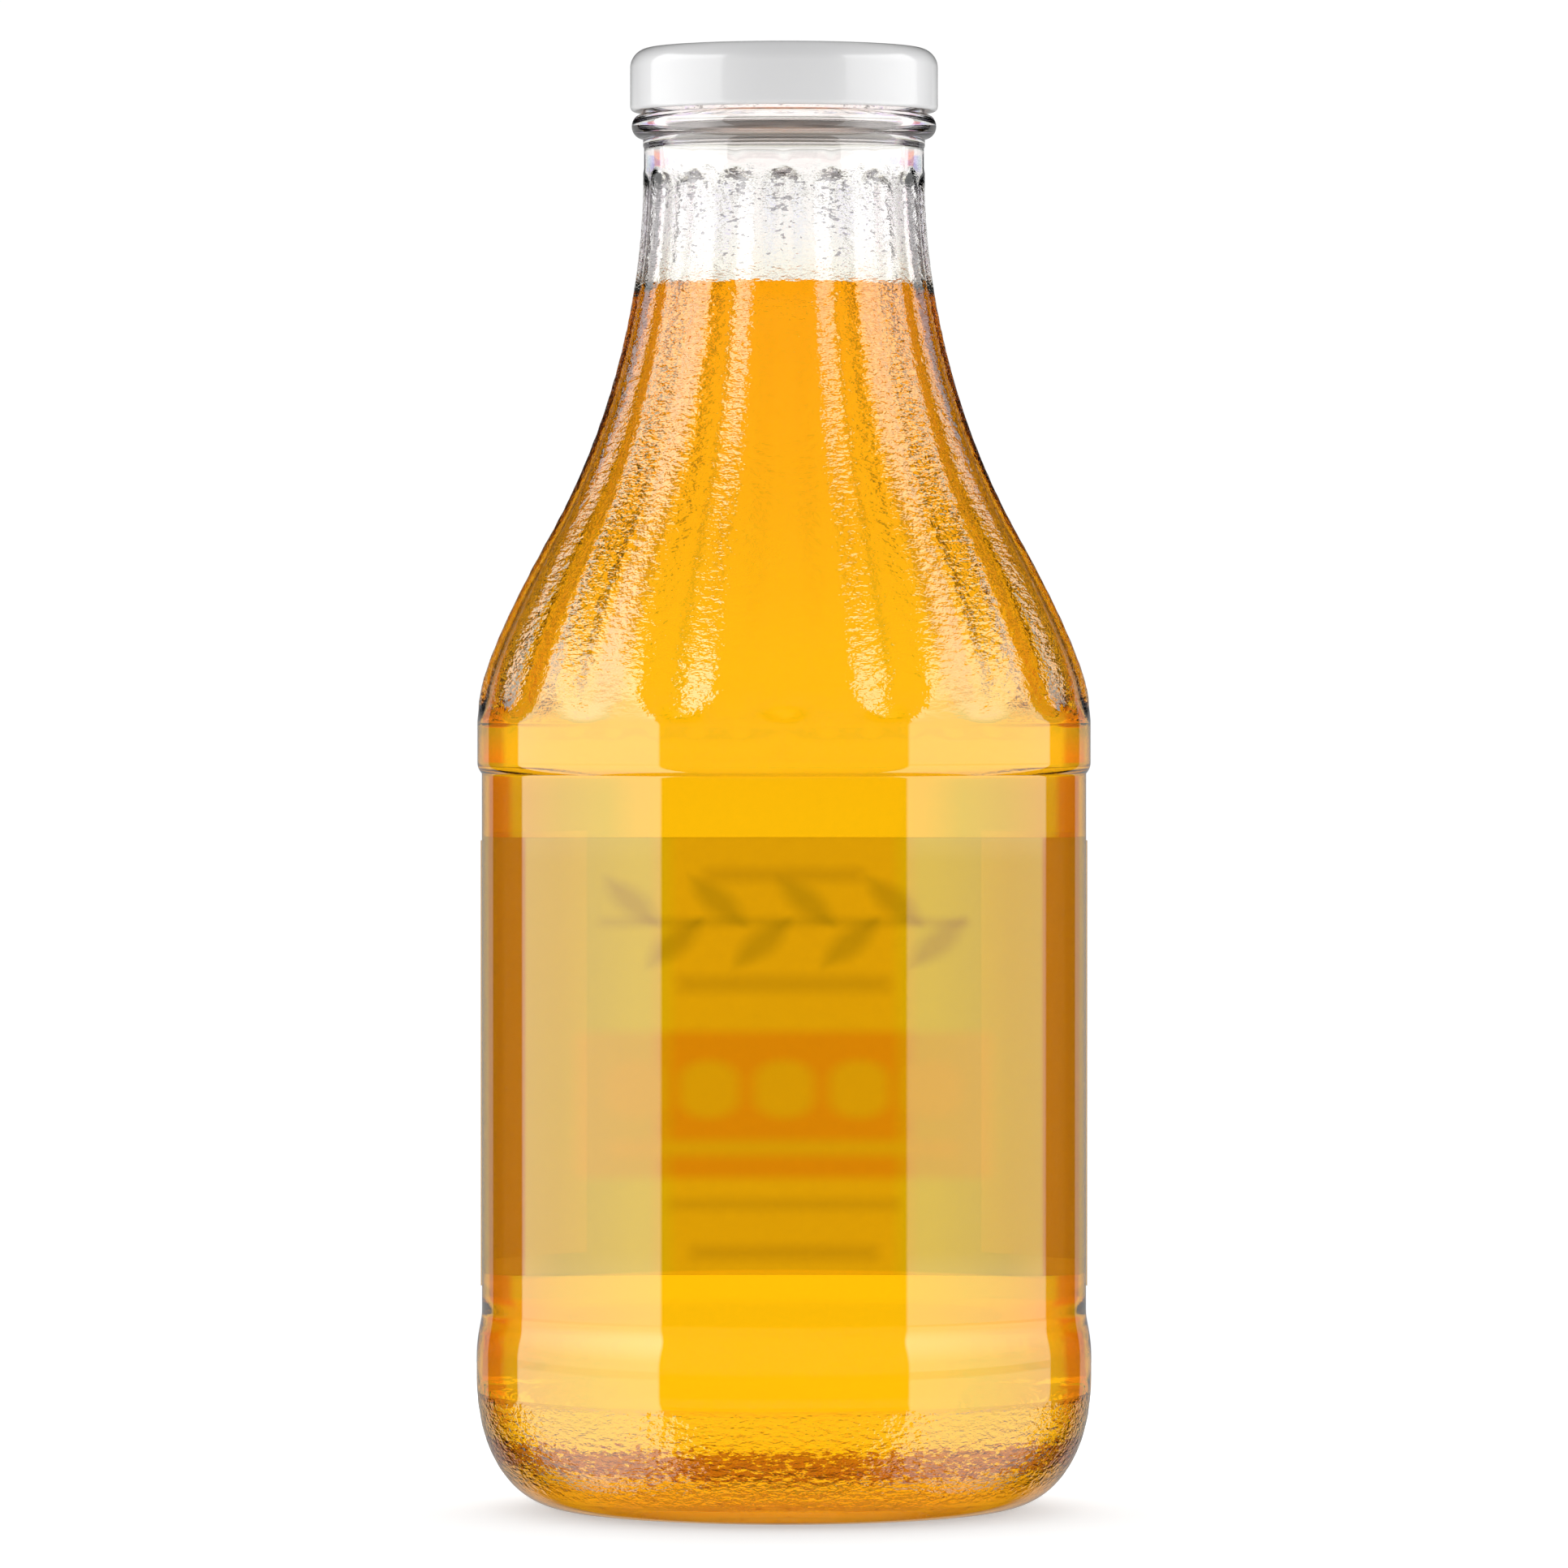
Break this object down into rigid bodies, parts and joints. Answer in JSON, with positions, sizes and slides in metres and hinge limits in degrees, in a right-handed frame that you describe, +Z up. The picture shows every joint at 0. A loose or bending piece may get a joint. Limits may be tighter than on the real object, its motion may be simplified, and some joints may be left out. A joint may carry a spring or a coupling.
{
  "type": "juice bottle",
  "caption": "Clear glass bottle with a fluted shoulder and a white twist-off cap, filled with amber juice, with a paper label round its far half.",
  "frame": {"origin": "middle of the foot, on the surface that the bottle stands on", "axes": "+Z up along the bottle's axis; +Y towards the middle of the label, so the pictured side faces -Y"},
  "size_m": [0.0974, 0.0974, 0.231],
  "materials": {
    "clear_glass": "clear flint glass, smooth on the neck and label panel, stippled on the shoulder and heel",
    "amber_juice": "clear amber liquid",
    "white_enamel": "satin white enamel on pressed steel",
    "label_paper": "thin cream paper with plain colour fields"
  },
  "bodies": {
    "root": {"glass_bottle": "clear_glass", "juice": "amber_juice", "cap": "white_enamel", "label": "label_paper"}
  },
  "joints": []
}
